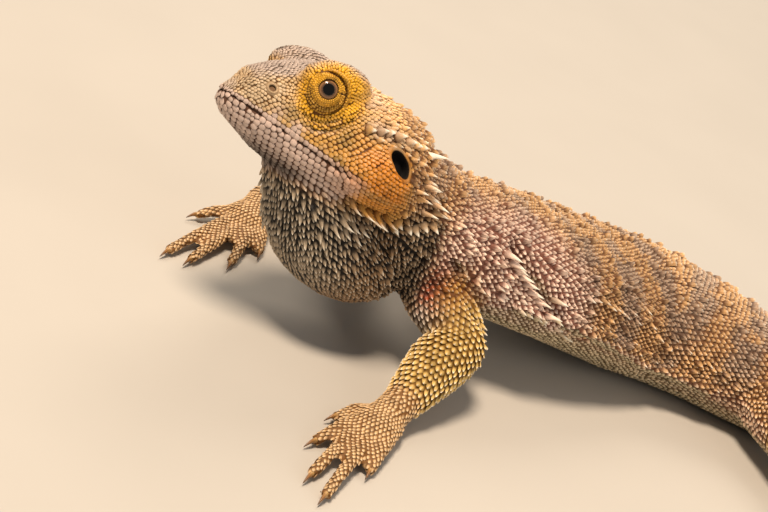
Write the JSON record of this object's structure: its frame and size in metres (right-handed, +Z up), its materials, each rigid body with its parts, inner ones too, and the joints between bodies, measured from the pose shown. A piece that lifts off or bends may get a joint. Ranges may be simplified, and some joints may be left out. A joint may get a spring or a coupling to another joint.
{
  "type": "bearded dragon",
  "caption": "Life-size still model of a bearded dragon: raised head with spiny beard, flattened trunk with fringed flanks, sprawled clawed legs and a long tail.",
  "frame": {"origin": "middle of the bounding box at floor level", "axes": "+Z up, +Y along the body from the head to the tail, +X towards the animal's left"},
  "size_m": [0.1702, 0.4402, 0.0725],
  "materials": {
    "head_skin": "scaly, satin, yellow and orange on the cheeks",
    "throat_skin": "narrow keeled scales, satin",
    "body_skin": "keeled scales with spines, matte",
    "limb_skin": "large keeled scales, satin",
    "eye": "wet gloss",
    "claw": "horn, satin"
  },
  "bodies": {
    "root": {"beard": "throat_skin", "claw_foot_left_1": "claw", "claw_foot_left_2": "claw", "claw_foot_left_3": "claw", "claw_foot_left_4": "claw", "claw_foot_left_5": "claw", "claw_foot_right_1": "claw", "claw_foot_right_2": "claw", "claw_foot_right_3": "claw", "claw_foot_right_4": "claw", "claw_foot_right_5": "claw", "claw_hand_left_1": "claw", "claw_hand_left_2": "claw", "claw_hand_left_3": "claw", "claw_hand_left_4": "claw", "claw_hand_left_5": "claw", "claw_hand_right_1": "claw", "claw_hand_right_2": "claw", "claw_hand_right_3": "claw", "claw_hand_right_4": "claw", "claw_hand_right_5": "claw", "eye_left": "eye", "eye_right": "eye", "foot_left": "limb_skin", "foot_right": "limb_skin", "forearm_left": "limb_skin", "forearm_right": "limb_skin", "hand_left": "limb_skin", "hand_right": "limb_skin", "head": "head_skin", "lower_jaw": "head_skin", "neck": "body_skin", "shank_left": "limb_skin", "shank_right": "limb_skin", "tail_1": "body_skin", "tail_2": "body_skin", "tail_3": "body_skin", "tail_4": "body_skin", "tail_5": "body_skin", "thigh_left": "limb_skin", "thigh_right": "limb_skin", "trunk_front": "body_skin", "trunk_middle": "body_skin", "trunk_rear": "body_skin", "upper_arm_left": "limb_skin", "upper_arm_right": "limb_skin"}
  },
  "joints": []
}
